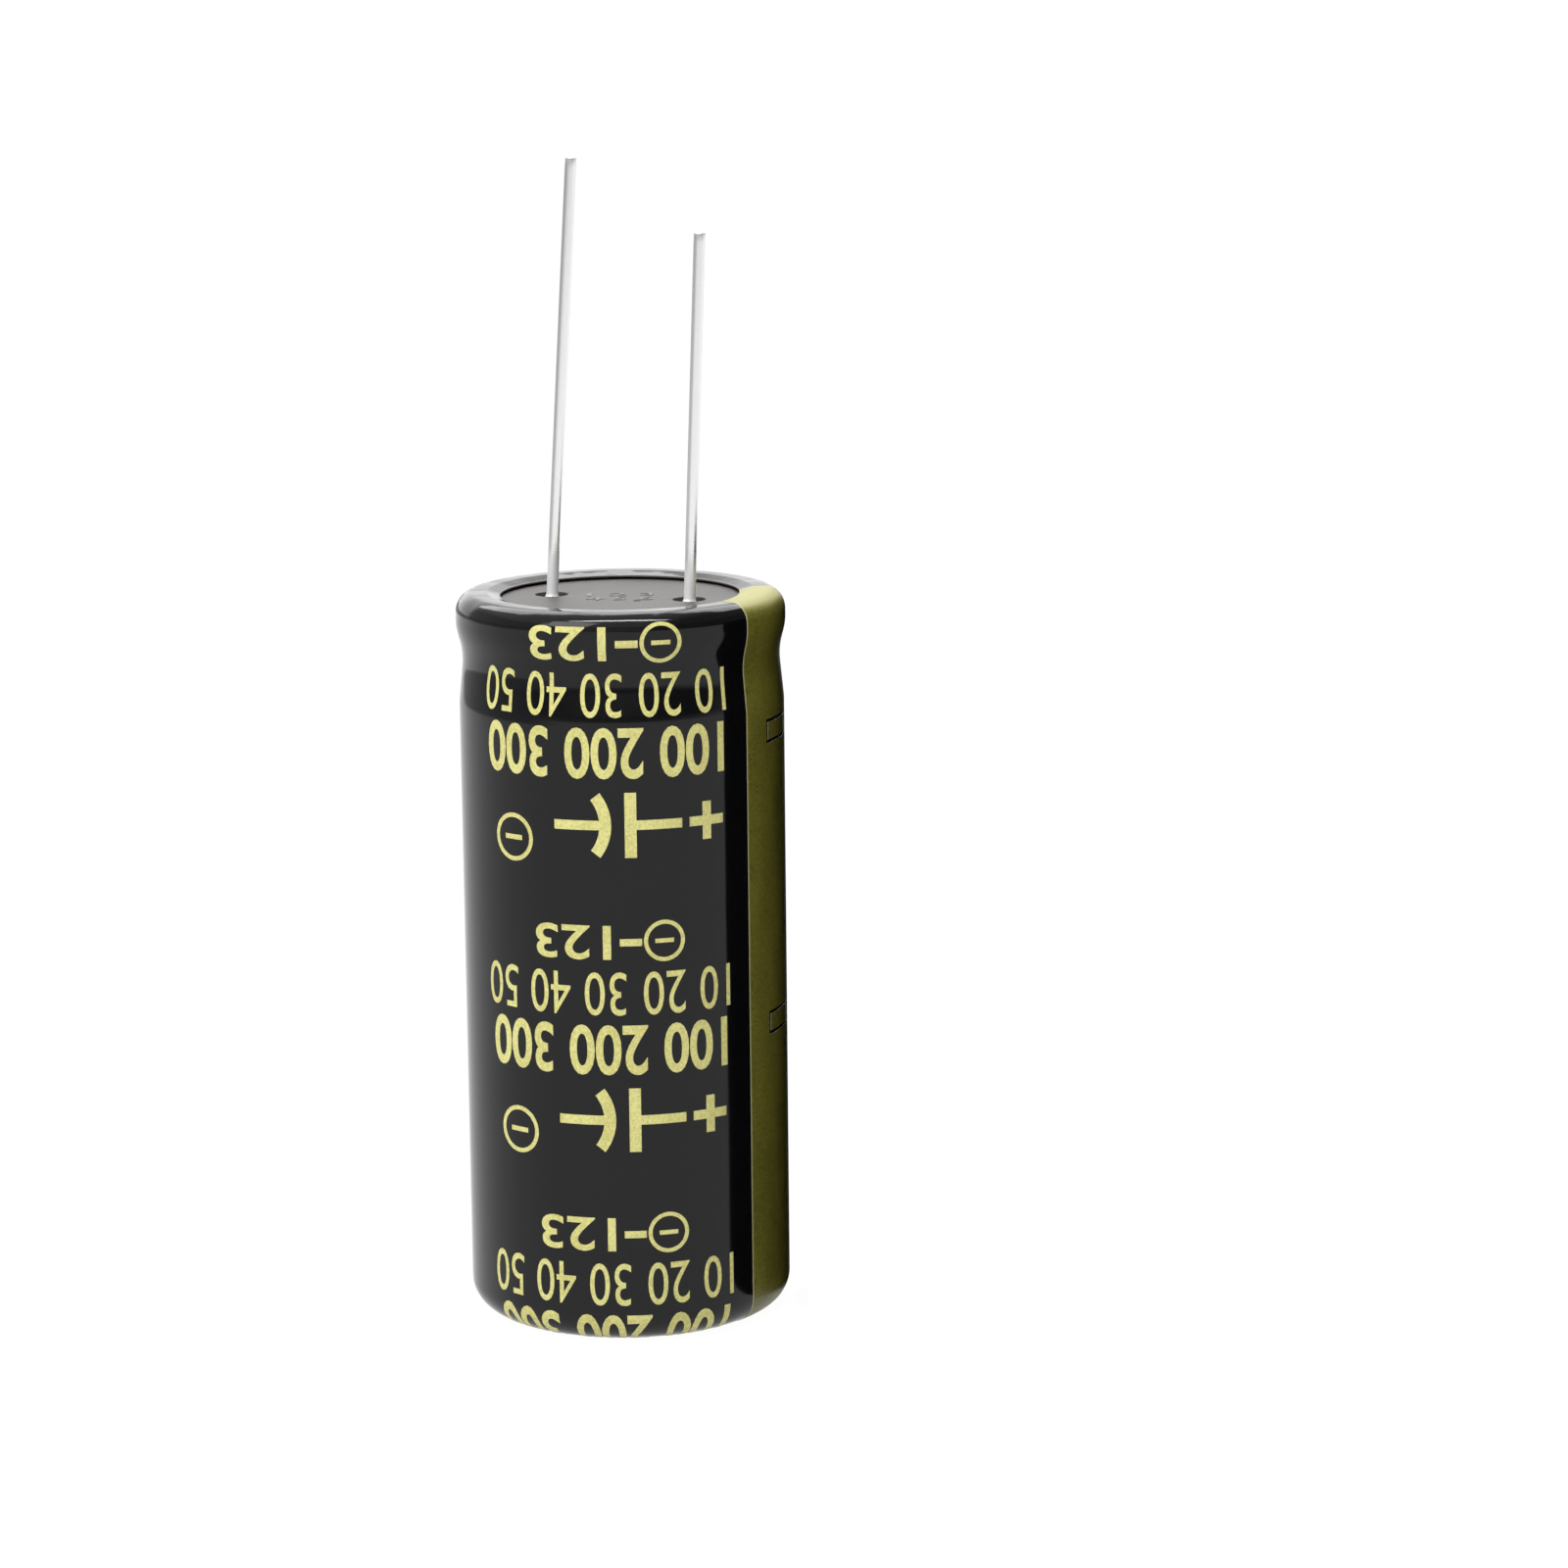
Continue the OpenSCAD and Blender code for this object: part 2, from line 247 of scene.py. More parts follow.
def ink_finish(name, light, dark, speck, edge_angle=None):
    """Screen-printed ink: uneven cover over black film, with a fine grain and pits.

    A stripe gets a paler bead along its edges, and is painted paler on the top of the rim: painted light
    where the top is lit.
    """
    m = Finish(name)
    grain = m.noise(5.5, 3, 0.65)
    cloud = m.noise(0.5, 2, stretch=(1, 1, 0.4))
    pits = m.ramp(m.noise(7.5, 2, 0.6), 0.56, 0.70)
    colour = m.mix(m.ramp(grain * 0.75 + cloud * 0.25, 0.36, 0.64), dark, light)
    colour = m.mix(pits * speck, colour, (dark[0] * 0.25, dark[1] * 0.25, dark[2] * 0.25))
    if edge_angle:
        # Painted light: the stripe is paler on the rim's top, where it is lit from above.
        rim_top_painted_light = m.ramp(m.height(), FILM_TOP - 0.8, FILM_TOP - 0.1, 0, 0.65)
        colour = m.mix(rim_top_painted_light, colour, (0.37, 0.345, 0.07))
        x, y, _ = m.separate(m.place)
        angle = m.maths("ABSOLUTE", m.maths("ARCTAN2", y, x))
        bead = m.ramp(angle, math.radians(edge_angle - 0.7), math.radians(edge_angle - 0.35), 0, 0.75)
        colour = m.mix(bead, colour, (0.46, 0.45, 0.24))
    return m.done(
        Base_Color=colour,
        Roughness=0.34 + 0.16 * grain,
        Normal=m.bump(grain * 0.6 - pits * 0.4, 0.004),
        IOR=1.5,
    )


def tin_finish():
    """Hot-tinned wire: bright and smooth, with faint lines along it and soft clouding, matt at its weld."""
    m = Finish("tinned_wire")
    lines = m.noise(6, 2, stretch=(1, 1, 0.02))
    cloud = m.noise(0.35, 2, stretch=(1, 1, 0.3))
    welded = m.ramp(m.height(), SEAL_TOP + 3.9, SEAL_TOP + 0.9)
    colour = m.mix(cloud * 0.6 + lines * 0.4, (0.93, 0.932, 0.935), (0.98, 0.98, 0.98))
    return m.done(
        Base_Color=colour,
        Metallic=1 - 0.7 * welded,
        Roughness=0.21 + 0.06 * cloud + 0.2 * welded,
        Normal=m.bump(lines, 0.0008),
    )


def aluminium_finish(name, low, high):
    """Deep-drawn aluminium: satin, with fine rings round the axis and a few rubbed spots."""
    m = Finish(name)
    rings = m.node("ShaderNodeTexNoise", {"noise_dimensions": "2D"}, {
        "Vector": m.combine(m.from_axis() * 9, m.height() * 2, 0),
        "Scale": 1.0, "Detail": 3.0, "Roughness": 0.6,
    })[0]
    rub = m.noise(0.35, 3, 0.6)
    colour = m.mix(rub, (0.70, 0.71, 0.72), (0.86, 0.865, 0.87))
    return m.done(
        Base_Color=colour,
        Metallic=1.0,
        Roughness=low + (high - low) * (rings * 0.5 + rub * 0.5),
        Normal=m.bump(rings, 0.006),
    )


def rubber_finish():
    """Filled rubber: dark grey-brown, matt and fine-grained, a little dusty."""
    m = Finish("seal_rubber_moulded")
    grain = m.noise(14, 3, 0.7)
    cloud = m.noise(0.6, 3, 0.6)
    dust = m.ramp(m.noise(5, 3, 0.7), 0.62, 0.80)
    colour = m.mix(cloud, (0.022, 0.018, 0.016), (0.040, 0.033, 0.029))
    colour = m.mix(dust * 0.5, colour, (0.16, 0.14, 0.125))
    # Painted highlight: the raised figures are painted paler, as if their tops catch the light.
    raised = m.ramp(m.height(), SEAL_TOP + RELIEF * 0.3, SEAL_TOP + RELIEF * 0.8)
    colour = m.mix(raised, colour, (0.10, 0.092, 0.086))
    return m.done(
        Base_Color=colour,
        Roughness=0.40 + 0.16 * grain,
        Normal=m.bump(grain + cloud * 2, 0.006),
        IOR=1.5,
    )


def winding_finish():
    """Edge of a roll of foil and paper: fibrous paper with thin bright turns."""
    m = Finish("foil_and_paper_roll")
    turns = m.maths("SINE", m.from_axis() * (math.tau / TURN_PITCH)) * 0.5 + 0.5
    fibres = m.noise(4, 4, 0.7, stretch=(1, 1, 0.15))
    paper = m.mix(fibres, (0.50, 0.40, 0.25), (0.70, 0.61, 0.44))
    colour = m.mix(m.ramp(turns, 0.80, 0.95) * 0.7, paper, (0.62, 0.63, 0.64))
    return m.done(
        Base_Color=colour,
        Roughness=0.62 + 0.25 * fibres,
        Normal=m.bump(fibres + turns * 0.5, 0.02),
    )


def tape_finish():
    """Polypropylene tape, tan and semi-glossy, with shrink ripples across it."""
    m = Finish("winding_tape_tan")
    ripple = m.noise(0.8, 2, stretch=(1, 1, 4))
    tint = m.noise(0.3, 2)
    colour = m.mix(tint, (0.62, 0.47, 0.24), (0.72, 0.58, 0.33))
    return m.done(
        Base_Color=colour,
        Roughness=0.22 + 0.15 * ripple,
        Normal=m.bump(ripple, 0.02),
        IOR=1.5,
    )


# Lines that are turned into pieces

def leg(path, i):
    return (Vector(path[i + 1][:2]) - Vector(path[i][:2])).normalized()


def turn_between(before, after):
    return math.atan2(before.x * after.y - before.y * after.x, before.dot(after))


def moved(path, distance):
    """The path moved to its left, with each corner's radius changed to suit."""
    last = len(path) - 1
    points = []
    for i, (radius, height, corner) in enumerate(path):
        before = leg(path, max(i - 1, 0))
        after = leg(path, min(i, last - 1))
        mitre = Vector((-before.y - after.y, before.x + after.x)) / (1 + before.dot(after))
        side = math.copysign(1, turn_between(before, after))
        new_corner = max(corner - side * distance, 0) if corner else 0
        points.append((radius + distance * mitre.x, height + distance * mitre.y, new_corner))
    return points


def rounded(path, spacing=0.5, step=6):
    """The path as plain points, its corners rounded in steps of some degrees and its long legs divided."""
    points = [Vector(path[0][:2])]
    last = len(path) - 1
    for i in range(1, last + 1):
        corner = Vector(path[i][:2])
        radius = path[i][2]
        new = [corner]
        if i < last and radius > 0:
            before, after = leg(path, i - 1), leg(path, i)
            turn = turn_between(before, after)
            start = corner - before * radius * math.tan(abs(turn) / 2)
            middle = start + Vector((-before.y, before.x)) * math.copysign(radius, turn)
            steps = max(2, math.ceil(abs(math.degrees(turn)) / step))
            new = [middle + Matrix.Rotation(turn * k / steps, 2) @ (start - middle) for k in range(steps + 1)]
        parts = max(1, math.ceil((new[0] - points[-1]).length / spacing))
        points += [points[-1].lerp(new[0], k / parts) for k in range(1, parts)]
        points += new
    return points


def closed_section(path, wall, edge):
    """Closed outline of a sheet on the left of the path, its cut edges rounded by a small radius."""
    outer = [path[0][:2] + (edge,), *path[1:-1], path[-1][:2] + (edge,)]
    inner = moved(path, wall)
    inner = [inner[0][:2] + (edge,), *inner[1:-1], inner[-1][:2] + (edge,)]
    start = (path[1][0], (path[1][1] + path[2][1]) / 2, 0)
    return [start, *outer[2:], *reversed(inner), *outer[:2], start]


def line_curve(name, points):
    """A curve through the points, in the XZ plane and in metres."""
    data = bpy.data.curves.new(name, "CURVE")
    data.dimensions = "3D"
    spline = data.splines.new("POLY")
    spline.points.add(len(points) - 1)
    for point, (radius, height) in zip(spline.points, points):
        point.co = (radius * MM, 0, height * MM, 1)
    return shown(bpy.data.objects.new(name, data))


# Meshes and objects

def shown(obj):
    bpy.context.scene.collection.objects.link(obj)
    return obj


def mesh_object(name, bm):
    data = bpy.data.meshes.new(name)
    bm.to_mesh(data)
    bm.free()
    return shown(bpy.data.objects.new(name, data))


def drop(*objects):
    for obj in objects:
        bpy.data.objects.remove(obj)


def settled(obj, sharp=35, merge=0.0005):
    """Replaces what the object's modifiers make by a plain closed mesh with its faces outwards."""
    graph = bpy.context.evaluated_depsgraph_get()
    data = bpy.data.meshes.new_from_object(obj.evaluated_get(graph), depsgraph=graph)
    obj.modifiers.clear()
    bm = bmesh.new()
    bm.from_mesh(data)
    bmesh.ops.remove_doubles(bm, verts=bm.verts, dist=merge * MM)
    bmesh.ops.dissolve_degenerate(bm, dist=merge * MM / 2, edges=bm.edges)
    bmesh.ops.holes_fill(bm, edges=[edge for edge in bm.edges if edge.is_boundary], sides=0)
    bmesh.ops.recalc_face_normals(bm, faces=bm.faces)
    for face in bm.faces:
        face.smooth = True
    bm.to_mesh(data)
    bm.free()
    data.set_sharp_from_angle(angle=math.radians(sharp))
    data.name = obj.name
    obj.data = data


def rides(obj, slot, *replaced):
    """The piece rides on the root and stands for these nodes."""
    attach(obj, "root")
    if replaced:
        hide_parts(*replaced)


# Geometry trees

class Shaper(Tree):
    """A Geometry Nodes tree with named inputs, which makes the geometry of the object it is put on."""

    def __init__(self, name):
        super().__init__(bpy.data.node_groups.new(name, "GeometryNodeTree"))
        self.face = self.node_tree.interface
        self.face.new_socket(name="Geometry", in_out="OUTPUT", socket_type="NodeSocketGeometry")

    def inputs(self, **kinds):
        """Adds the inputs, named with _ for a space, and gives their sockets."""
        for name, kind in kinds.items():
            self.face.new_socket(name=name.replace("_", " "), in_out="INPUT", socket_type="NodeSocket" + kind)
        given = self.node("NodeGroupInput")
        return [given[name.replace("_", " ")] for name in kinds]

    def sampled(self, geometry, value, index):
        return self.node("GeometryNodeSampleIndex", {"data_type": "FLOAT_VECTOR", "domain": "POINT"}, {
            "Geometry": geometry, "Value": value, "Index": index,
        })["Value"]

    def turned(self, vector, angle):
        return self.node("ShaderNodeVectorRotate", {"rotation_type": "Z_AXIS"}, {
            "Vector": vector, "Angle": angle,
        })["Vector"]

    def ripple(self, place, body, rim, seed):
        """How far the shrunk film dips at a place: least on its wall, most where it turns over the ends."""
        height = self.separate(place)[2]
        near_top = self.ramp(height, (FILM_TOP - 2) * MM, (FILM_TOP - 0.4) * MM)
        near_foot = self.ramp(height, 2.2 * MM, 0.8 * MM)
        calmer_top = self.ramp(height, (FILM_TOP - 0.15) * MM, (FILM_TOP - 0.02) * MM, 1, 0.25)
        calmer_foot = self.ramp(height, 0.02 * MM, 0.2 * MM, 0.1, 1)
        waves = self.node("ShaderNodeTexNoise", {"noise_dimensions": "4D"}, {
            "Vector": self.vector("MULTIPLY", place, (1 / MM, 1 / MM, 0.5 / MM)),
            "W": seed, "Scale": 0.42, "Detail": 2.0, "Roughness": 0.5,
        })[0]
        return waves * (body + (rim - body) * (near_top + near_foot)) * (calmer_top * calmer_foot)

    def done(self, geometry, material):
        """Ends in real geometry with its material."""
        real = self.node("GeometryNodeRealizeInstances", {}, {"Geometry": geometry})["Geometry"]
        finished = self.node("GeometryNodeSetMaterial", {}, {
            "Geometry": real, "Material": material,
        })["Geometry"]
        self.node("NodeGroupOutput", {}, {"Geometry": finished})
        return self.node_tree


def turning_tree():
    """A line turned about the Z axis, rippled, then leant and put in its place."""
    t = Shaper("turned_piece")
    line, points, segments, start, sweep, body, rim, seed, lean, place, material = t.inputs(
        Line="Object", Line_Points="Int", Segments="Int", Start_Angle="Float", Sweep_Angle="Float",
        Wall_Ripple="Float", End_Ripple="Float", Seed="Float", Lean="Vector", Place="Vector",
        Material="Material",
    )
    line_points = t.node("GeometryNodeObjectInfo", {}, {"Object": line})["Geometry"]
    grid = t.node("GeometryNodeMeshGrid", {}, {
        "Size X": 1, "Size Y": 1, "Vertices X": segments + 1, "Vertices Y": points,
    })["Mesh"]
    position = t.node("GeometryNodeInputPosition")["Position"]
    around, along, _ = t.separate(position)
    # The index is cut down to a whole number, and the quarter keeps it from falling to the one below.
    index = (along + 0.5) * (points - 1) + 0.25
    section = t.sampled(line_points, position, index)
    surface = t.node("GeometryNodeSetPosition", {}, {
        "Geometry": grid, "Position": t.turned(section, start + (around + 0.5) * sweep),
    })["Geometry"]
    surface = t.node("GeometryNodeMergeByDistance", {}, {
        "Geometry": surface, "Distance": 0.0004 * MM,
    })["Geometry"]
    normal = t.node("GeometryNodeInputNormal")["Normal"]
    dip = t.ripple(position, body, rim, seed)
    surface = t.node("GeometryNodeSetPosition", {}, {
        "Geometry": surface, "Offset": t.vector("SCALE", normal, dip * -1),
    })["Geometry"]
    surface = t.node("GeometryNodeTransform", {}, {
        "Geometry": surface, "Rotation": lean, "Translation": place,
    })["Geometry"]
    return t.done(surface, material)


def printing_tree():
    """A flat print repeated down the film and laid on it.

    The print's X runs round the film, its Z up the film and its Y outwards.
    """
    t = Shaper("print_on_film")
    sheet, line, start, middle, radius, lift, copies, pitch, lowest, body, rim, seed, material = t.inputs(
        Sheet="Object", Film_Line="Object", Line_Start="Float", Middle_Angle="Float", Film_Radius="Float",
        Lift="Float", Copies="Int", Pitch="Float", Lowest="Float", Wall_Ripple="Float", End_Ripple="Float",
        Seed="Float", Material="Material",
    )
    flat = t.node("GeometryNodeObjectInfo", {}, {"Object": sheet})["Geometry"]
    film = t.node("GeometryNodeObjectInfo", {}, {"Object": line})["Geometry"]
    stations = t.node("GeometryNodeMeshLine", {"mode": "OFFSET"}, {
        "Count": copies, "Offset": t.combine(0, 0, pitch * -1),
    })["Mesh"]
    prints = t.node("GeometryNodeInstanceOnPoints", {}, {"Points": stations, "Instance": flat})["Instances"]
    prints = t.node("GeometryNodeRealizeInstances", {}, {"Geometry": prints})["Geometry"]
    position = t.node("GeometryNodeInputPosition")["Position"]
    around, out, up = t.separate(position)
    below = t.node("FunctionNodeCompare", {"data_type": "FLOAT", "operation": "LESS_THAN"}, {
        "A": up, "B": lowest,
    })["Result"]
    prints = t.node("GeometryNodeDeleteGeometry", {"domain": "POINT"}, {
        "Geometry": prints, "Selection": below,
    })["Geometry"]
    sample = t.node("GeometryNodeSampleCurve", {"mode": "LENGTH"}, {"Curves": film, "Length": up + start})
    across, _, rise = t.separate(sample["Tangent"])
    angle = middle + around / radius
    place = t.turned(sample["Position"], angle)
    normal = t.turned(t.combine(rise, 0, across * -1), angle)
    height = out + lift - t.ripple(place, body, rim, seed)
    prints = t.node("GeometryNodeSetPosition", {}, {
        "Geometry": prints, "Position": t.vector("ADD", place, t.vector("SCALE", normal, height)),
    })["Geometry"]
    return t.done(prints, material)


def shaped(name, tree, **values):
    """An object whose shape comes from a tree with these inputs, named with _ for a space."""
    obj = shown(bpy.data.objects.new(name, bpy.data.meshes.new(name)))
    modifier = obj.modifiers.new("shape", "NODES")
    modifier.node_group = tree
    wanted = {key.replace("_", " "): value for key, value in values.items()}
    for item in tree.interface.items_tree:
        if item.in_out == "INPUT" and item.name in wanted:
            modifier[item.identifier] = wanted.pop(item.name)
    if wanted:
        raise ValueError(f"{name}: no input is named {sorted(wanted)}")
    bpy.context.view_layer.update()
    return obj


WALL_RIPPLE = 0.010 * MM
END_RIPPLE = 0.06 * MM
RIPPLE_SEED = 3.0
FILM_RIPPLE = {"Wall_Ripple": WALL_RIPPLE, "End_Ripple": END_RIPPLE, "Seed": RIPPLE_SEED}

finishes = {
    "film": film_finish(),
    "print": ink_finish("print_ink_pale_yellow", (0.66, 0.63, 0.24), (0.50, 0.465, 0.14), 0.3),
    # The stripe's olive is darkened by about a third: partly its own colour, partly painted shade on its
    # wall.
    "stripe": ink_finish(
        "stripe_ink_olive_gold", (0.165, 0.153, 0.02), (0.09, 0.084, 0.009), 0.75, STRIPE_ANGLE / 2,
    ),
    "tin": tin_finish(),
    "can": aluminium_finish("drawn_aluminium", 0.30, 0.46),
    "terminal": aluminium_finish("pressed_aluminium", 0.36, 0.5),
    "rubber": rubber_finish(),
    "winding": winding_finish(),
    "tape": tape_finish(),
}
turning = turning_tree()
printing = printing_tree()


def turned_piece(name, points, material, segments=192, start=0.0, sweep=360.0, **values):
    line = line_curve(name + "_line", points)
    piece = shaped(
        name, turning, Line=line, Line_Points=len(points), Segments=segments, Start_Angle=math.radians(start),
        Sweep_Angle=math.radians(sweep), Material=material, **values,
    )
    return piece, line


# Sleeve of shrunk film
sleeve, sleeve_line = turned_piece(
    "film_sleeve", rounded(closed_section(FILM_LINE, FILM_WALL, 0.05)), finishes["film"], **FILM_RIPPLE,
)
settled(sleeve)
drop(sleeve_line)
rides(sleeve, "sleeve_film", "sleeve")

# Stripe of ink on the film, with the outlines of its minus marks left open
INK_LIFT = 0.012
INK_T = 0.05
MARK_W = 3.9
MARK_H = 1.65
MARK_LINE = 0.22
MARK_HEIGHTS = (41.5, 21.1)
MARK_STEPS = 12
CUTTER_REACH = 0.6


def mark_cutter():
    """Frames that stand through the stripe, one for each minus mark."""
    bm = bmesh.new()
    for middle in MARK_HEIGHTS:
        loops = []
        for inset in (0, MARK_LINE):
            half = (MARK_W / 2 - inset) / FILM_R
            rise = MARK_H / 2 - inset
            line = [(half * (2 * k / MARK_STEPS - 1), -rise) for k in range(MARK_STEPS + 1)]
            line += [(-angle, rise) for angle, _ in line]
            for r in (FILM_R - CUTTER_REACH, FILM_R + CUTTER_REACH):
                points = [(r * MM * math.cos(a), r * MM * math.sin(a), (middle + z) * MM) for a, z in line]
                loops.append([bm.verts.new(point) for point in points])
        out_in, out_out, in_in, in_out = loops
        count = len(out_in)
        for one, other in ((out_in, out_out), (in_out, in_in), (out_out, in_out), (in_in, out_in)):
            for k in range(count):
                n = (k + 1) % count
                bm.faces.new((one[k], one[n], other[n], other[k]))
    bmesh.ops.recalc_face_normals(bm, faces=bm.faces)
    return mesh_object("mark_cutter", bm)


stripe, stripe_line = turned_piece(
    "polarity_stripe_ink", rounded(moved(FILM_LINE, -INK_LIFT), step=5), finishes["stripe"], segments=40,
    start=-STRIPE_ANGLE / 2, sweep=STRIPE_ANGLE, **FILM_RIPPLE,
)
wall = stripe.modifiers.new("thickness", "SOLIDIFY")
wall.thickness = INK_T * MM
wall.offset = -1
settled(stripe)
drop(stripe_line)
cutter = mark_cutter()
cut = stripe.modifiers.new("marks", "BOOLEAN")
cut.object = cutter
cut.solver = "EXACT"
settled(stripe)
drop(cutter)
rides(stripe, "stripe_ink", "polarity_stripe")

# Flat print, drawn as it reads. It is then turned half round, because the part was printed leads down.
PRINT_MIDDLE = -81
PRINT_PITCH = 20.4
PRINT_TOP = 48.7
PRINT_COPIES = 3
PRINT_LOWEST = -1.7
GLYPH_T = 0.04
CUT_SPACING = 0.4
SYMBOL_Y = 12.4
SYMBOL_STROKE = 0.65
PLATE_T = 0.8


def flat_mesh(name, data):
    """A filled flat curve or text as a mesh."""
    source = shown(bpy.data.objects.new(name, data))
    graph = bpy.context.evaluated_depsgraph_get()
    made = bpy.data.meshes.new_from_object(source.evaluated_get(graph), depsgraph=graph)
    drop(source)
    return made


def figures(body, x, y, width, height, weight=0.0, depth=GLYPH_T):
    """Plain figures that fill a box, given by its middle. Their own depth gives way to the box's."""
    data = bpy.data.curves.new("figures", "FONT")
    data.body = body
    data.extrude = GLYPH_T / 2
    data.offset = weight
    data.resolution_u = 5
    mesh = flat_mesh("figures", data)
    low = [min(v.co[k] for v in mesh.vertices) for k in range(3)]
    high = [max(v.co[k] for v in mesh.vertices) for k in range(3)]
    sizes = (width, height, depth)
    for vertex in mesh.vertices:
        vertex.co = [
            middle + ((vertex.co[k] - low[k]) / (high[k] - low[k]) - 0.5) * sizes[k]
            for k, middle in enumerate((x, y, 0))
        ]
    return mesh


def outline_shape(loops):
    """Flat shape filled between closed loops of points."""
    data = bpy.data.curves.new("shape", "CURVE")
    data.dimensions = "2D"
    data.fill_mode = "BOTH"
    data.extrude = GLYPH_T / 2
    for loop in loops:
        spline = data.splines.new("POLY")
        spline.points.add(len(loop) - 1)
        spline.use_cyclic_u = True
        for point, (x, y) in zip(spline.points, loop):
            point.co = (x, y, 0, 1)
    return flat_mesh("shape", data)


def circle(x, y, radius, count=40):
    return [(x + radius * math.cos(math.tau * k / count), y + radius * math.sin(math.tau * k / count))
            for k in range(count)]


def bar(x, y, width, height):
    w, h = width / 2, height / 2
    return [(x - w, y - h), (x + w, y - h), (x + w, y + h), (x - w, y + h)]


def cross(x, y, size, stroke):
    s, t = size / 2, stroke / 2
    return [(x - s, y - t), (x - t, y - t), (x - t, y - s), (x + t, y - s), (x + t, y - t), (x + s, y - t),
            (x + s, y + t), (x + t, y + t), (x + t, y + s), (x - t, y + s), (x - t, y + t), (x - s, y + t)]


def bow(x, y, radius, stroke, half_angle, count=16):
    """A curved plate, hollow to the right."""
    sweep = [math.pi + math.radians(half_angle) * (2 * k / count - 1) for k in range(count + 1)]
    outer = [(x + radius + radius * math.cos(a), y + radius * math.sin(a)) for a in sweep]
    inside = radius - stroke
    inner = [(x + radius + inside * math.cos(a), y + inside * math.sin(a)) for a in reversed(sweep)]
    return outer + inner


def circled_minus(x, y, radius, line, width, height):
    """A ring round a minus. The line is the ring's, the width and height are the minus's."""
    return outline_shape([circle(x, y, radius), circle(x, y, radius - line), bar(x, y, width, height)])


def capacitor_symbol():
    """A plus, then a straight and a curved plate between two wires."""
    return [
        outline_shape([cross(-7.8, SYMBOL_Y, 2.6, SYMBOL_STROKE)]),
        outline_shape([bar(-4.3, SYMBOL_Y, 3.3, SYMBOL_STROKE)]),
        outline_shape([bar(-2.4, SYMBOL_Y, PLATE_T, 4.45)]),
        outline_shape([bow(-1.1, SYMBOL_Y, 3.6, PLATE_T, 38)]),
        outline_shape([bar(1.1, SYMBOL_Y, 3.5, SYMBOL_STROKE)]),
    ]


def print_sheet():
    """One repeat of the print, in the film's own directions. As drawn, its Y runs down from the top row."""
    shapes = [
        circled_minus(-4.6, 0, 1.43, 0.28, 1.3, 0.3),
        outline_shape([bar(-2.3, 0.05, 1.5, 0.5)]),
        figures("123", 1.75, 0.05, 5.4, 2.4, 0.015),
        figures("10 20 30 40 50", -0.3, 3.6, 18.5, 3.0),
        figures("100 200 300", -0.35, 7.5, 17.8, 3.5, 0.02),
        *capacitor_symbol(),
        circled_minus(6.2, 13.6, 1.65, 0.3, 1.5, 0.34),
    ]
    bm = bmesh.new()
    for shape in shapes:
        bm.from_mesh(shape)
        bpy.data.meshes.remove(shape)
    for vertex in bm.verts:
        x, y, z = vertex.co
        vertex.co = (-x * MM, z * MM, (PRINT_TOP - y) * MM)
    return bm


def divided(bm, axis, spacing):
    """Cuts the mesh across an axis so that it can bend."""
    places = [v.co[axis] for v in bm.verts]
    first = math.floor(min(places) / spacing)
    last = math.ceil(max(places) / spacing)
    direction = Vector([float(k == axis) for k in range(3)])
    for k in range(first, last + 1):
        everything = bm.verts[:] + bm.edges[:] + bm.faces[:]
        bmesh.ops.bisect_plane(bm, geom=everything, plane_co=direction * (k * spacing), plane_no=direction)


sheet_bm = print_sheet()
bmesh.ops.remove_doubles(sheet_bm, verts=sheet_bm.verts, dist=0.001 * MM)
for axis in (0, 2):
    divided(sheet_bm, axis, CUT_SPACING * MM)
sheet = mesh_object("print_sheet", sheet_bm)
print_line = line_curve("print_line", rounded(FILM_LINE, step=3))
# The film's line is this long where its wall, carried straight down, would meet the ground.
line_start = FILM_R - FOOT_HOLE_R - FOOT_ROUNDING * (2 - math.pi / 2)
labels = shaped(
    "printed_figures", printing, Sheet=sheet, Film_Line=print_line, Line_Start=line_start * MM,
    Middle_Angle=math.radians(PRINT_MIDDLE), Film_Radius=FILM_R * MM, Lift=(INK_LIFT - GLYPH_T / 2) * MM,
    Copies=PRINT_COPIES, Pitch=PRINT_PITCH * MM, Lowest=PRINT_LOWEST * MM, Material=finishes["print"],
    **FILM_RIPPLE,
)
settled(labels, merge=0.0002)
drop(sheet, print_line)
rides(labels, "stripe_ink")

# Leads: weld bead, drawn wire and cut end
for name, (side, degrees, length) in LEADS.items():
    lean = math.radians(degrees)
    foot = LEAD_FOOT + WELD_R * math.sin(lean)
    weld = (SEAL_TOP - foot) / math.cos(lean)
    tip = weld + length
    line_points = rounded([
        (0, 0, 0), (WELD_R - 0.02, 0, 0.12), (WELD_R * 0.80, weld * 0.45, 0.5), (LEAD_R, weld, 0.6),
        (LEAD_R, tip, 0.07), (LEAD_R * 0.55, tip - 0.012, 0.1), (0, tip, 0),
    ], spacing=0.6, step=12)
    wire, wire_line = turned_piece(
        f"lead_wire_{name}", line_points, finishes["tin"], segments=48,
        Lean=(0, lean, math.radians(LEAN_AZIMUTH)), Place=(side * LEAD_PITCH / 2 * MM, 0, foot * MM),
    )
    settled(wire)
    drop(wire_line)
    rides(wire, "lead_wire", f"lead_{name}")

